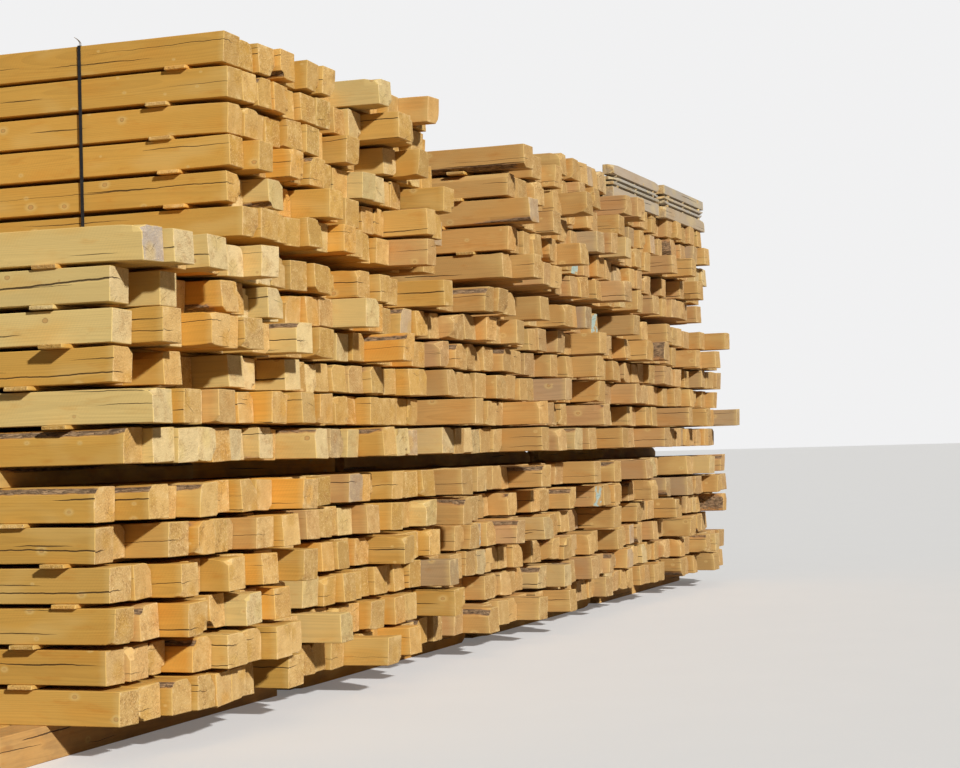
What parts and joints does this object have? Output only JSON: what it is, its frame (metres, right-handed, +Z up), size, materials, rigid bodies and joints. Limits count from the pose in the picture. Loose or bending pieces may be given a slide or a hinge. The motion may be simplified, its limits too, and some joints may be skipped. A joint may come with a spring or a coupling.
{
  "type": "lumber stack",
  "caption": "Long stack of squared softwood timbers in three tiers of bundles, with stickers between the courses, bearers, a strap and weathered boards on top.",
  "frame": {"origin": "on the ground, under the middle of the bounding box", "axes": "+X along the row of bundles, away from the end where the top tier is set back; the timbers lie along Y with the staggered ends that the picture shows on -Y; +Z up"},
  "size_m": [13.1022, 3.7828, 4.043],
  "materials": {
    "timber": "rough sawn, unfinished",
    "sticker": "rough sawn, unfinished",
    "bearer": "rough sawn, dirty",
    "weathered_timber": "weathered grey",
    "strap": "matt black band"
  },
  "bodies": {
    "root": {"bottom_bundle_1": "timber", "bottom_bundle_2": "timber", "bottom_bundle_3": "timber", "bottom_bundle_4": "timber", "bottom_bundle_5": "timber", "bottom_bundle_6": "timber", "bottom_stickers": "sticker", "ground_bearers": "bearer", "middle_bearers": "bearer", "middle_bundle_1": "timber", "middle_bundle_2": "timber", "middle_bundle_3": "timber", "middle_bundle_4": "timber", "middle_bundle_5": "timber", "middle_bundle_6": "timber", "middle_stickers": "sticker", "pile_boards": "weathered_timber", "pile_spacers": "weathered_timber", "pile_timbers": "weathered_timber", "straps": "strap", "top_bearers": "bearer", "top_bundle_1": "timber", "top_bundle_2": "timber", "top_bundle_3": "timber", "top_bundle_4": "timber", "top_bundle_5": "timber", "top_bundle_6": "timber", "top_stickers": "sticker"}
  },
  "joints": []
}
